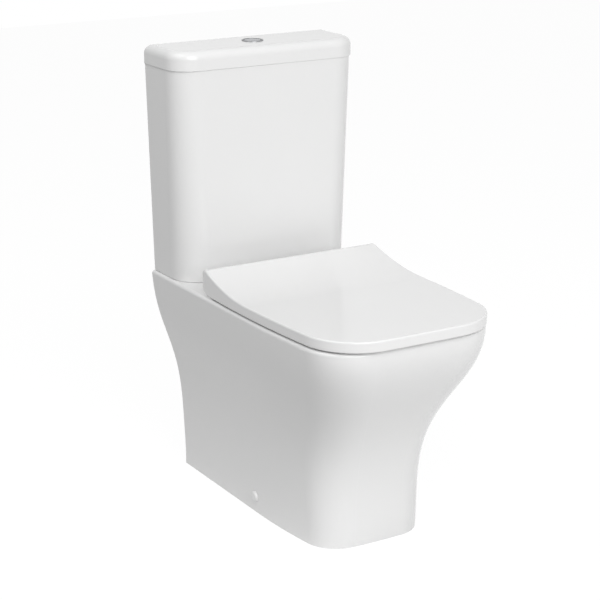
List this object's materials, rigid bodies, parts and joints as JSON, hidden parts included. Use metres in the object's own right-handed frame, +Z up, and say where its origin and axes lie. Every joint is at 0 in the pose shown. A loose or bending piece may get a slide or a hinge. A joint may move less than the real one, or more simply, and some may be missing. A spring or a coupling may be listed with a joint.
{
  "type": "close coupled toilet",
  "caption": "Floor-standing close coupled toilet with a skirted pan, slim wrap-over soft-close seat, and a cistern with a round push button on its lid.",
  "frame": {"origin": "on the floor, under the middle of the whole object's box", "axes": "+Z up, +Y towards the wall behind, -Y the front, +X to the right seen from the front"},
  "size_m": [0.3834, 0.636, 0.8315],
  "materials": {
    "china": "white glazed vitreous china, high gloss",
    "seat_plastic": "white moulded thermoset plastic, high gloss",
    "cap_plastic": "white moulded plastic cap, gloss",
    "chrome": "polished chrome plating",
    "steel": "plain stainless steel",
    "nut_plastic": "white moulded plastic, matt",
    "rubber": "black rubber, matt",
    "buffer_rubber": "pale grey rubber, matt",
    "damper_plastic": "dark grey moulded plastic, matt",
    "valve_plastic": "pale grey moulded plastic, satin",
    "lever_plastic": "blue moulded plastic, satin",
    "float_plastic": "off-white moulded plastic, satin"
  },
  "bodies": {
    "base": {"pan": "china", "bowl": "china", "trap": "china", "flush_channel": "china", "cistern": "china", "hinge_posts": "chrome", "hinge_pins": "steel", "hinge_bolts": "steel", "hinge_washers": "rubber", "hinge_nuts": "nut_plastic", "flush_valve_body": "valve_plastic", "flush_valve_washer": "rubber", "flush_valve_nut": "nut_plastic", "doughnut_seal": "rubber", "lever_pin": "steel", "coupling_bolts": "steel", "coupling_seals": "rubber", "coupling_washers": "steel", "coupling_nuts": "nut_plastic", "fill_valve_body": "valve_plastic", "fill_valve_washer": "rubber", "fill_valve_nut": "nut_plastic", "float_lever_pin": "steel", "floor_brackets": "valve_plastic", "side_screws": "steel", "side_caps": "cap_plastic"},
    "seat_ring": {"seat_ring": "seat_plastic", "ring_buffers": "buffer_rubber", "ring_damper": "damper_plastic"},
    "seat_lid": {"seat_lid": "seat_plastic", "lid_buffers": "buffer_rubber", "lid_damper": "damper_plastic"},
    "cistern_lid": {"cistern_lid": "china", "button_bezel": "chrome", "button_nut": "nut_plastic"},
    "full_button": {"full_button": "chrome", "full_push_rod": "lever_plastic"},
    "half_button": {"half_button": "chrome", "half_push_rod": "lever_plastic"},
    "full_lever": {"full_lever": "lever_plastic"},
    "half_lever": {"half_lever": "lever_plastic"},
    "flush_piston": {"flush_piston": "valve_plastic", "flush_seal": "rubber"},
    "float": {"float_cup": "float_plastic", "float_rod": "float_plastic"},
    "float_lever": {"float_lever": "lever_plastic"}
  },
  "joints": [
    {"name": "ring_hinge", "type": "hinge", "parent": "base", "child": "seat_ring", "pos_m": [0, 0.107, 0.429], "axis": [-1, 0, 0], "range_deg": [0, 95]},
    {"name": "lid_hinge", "type": "hinge", "parent": "seat_ring", "child": "seat_lid", "pos_m": [0, 0.107, 0.429], "axis": [1, 0, 0], "range_deg": [-95, 0]},
    {"name": "cistern_lid_lift", "type": "slide", "parent": "base", "child": "cistern_lid", "axis": [0, 0, 1], "range_m": [0, 0.06]},
    {"name": "full_button_press", "type": "slide", "parent": "cistern_lid", "child": "full_button", "axis": [0, 0, 1], "range_m": [-0.006, 0], "stiffness_N_per_m": 300, "springref_m": 0.004},
    {"name": "half_button_press", "type": "slide", "parent": "cistern_lid", "child": "half_button", "axis": [0, 0, 1], "range_m": [-0.006, 0], "stiffness_N_per_m": 300, "springref_m": 0.004},
    {"name": "full_lever_rock", "type": "hinge", "parent": "base", "child": "full_lever", "pos_m": [0.009, 0.269, 0.666], "axis": [1, 0, 0], "range_deg": [0, 23.02]},
    {"name": "half_lever_rock", "type": "hinge", "parent": "base", "child": "half_lever", "pos_m": [-0.009, 0.269, 0.666], "axis": [1, 0, 0], "range_deg": [0, 23.02]},
    {"name": "piston_lift", "type": "slide", "parent": "base", "child": "flush_piston", "axis": [0, 0, 1], "range_m": [0, 0.008]},
    {"name": "float_rise", "type": "slide", "parent": "base", "child": "float", "axis": [0, 0, 1], "range_m": [0, 0.012]},
    {"name": "float_lever_tip", "type": "hinge", "parent": "base", "child": "float_lever", "pos_m": [0.077, 0.253, 0.725], "axis": [0, 1, 0], "range_deg": [0, 29.32]}
  ],
  "couplings": [
    {"joint": "full_lever_rock", "follows": "full_button_press", "rad_per_m": -66.667},
    {"joint": "half_lever_rock", "follows": "half_button_press", "rad_per_m": -66.667},
    {"joint": "piston_lift", "follows": "full_button_press", "ratio": -1.3333},
    {"joint": "float_lever_tip", "follows": "float_rise", "rad_per_m": 42.5}
  ]
}
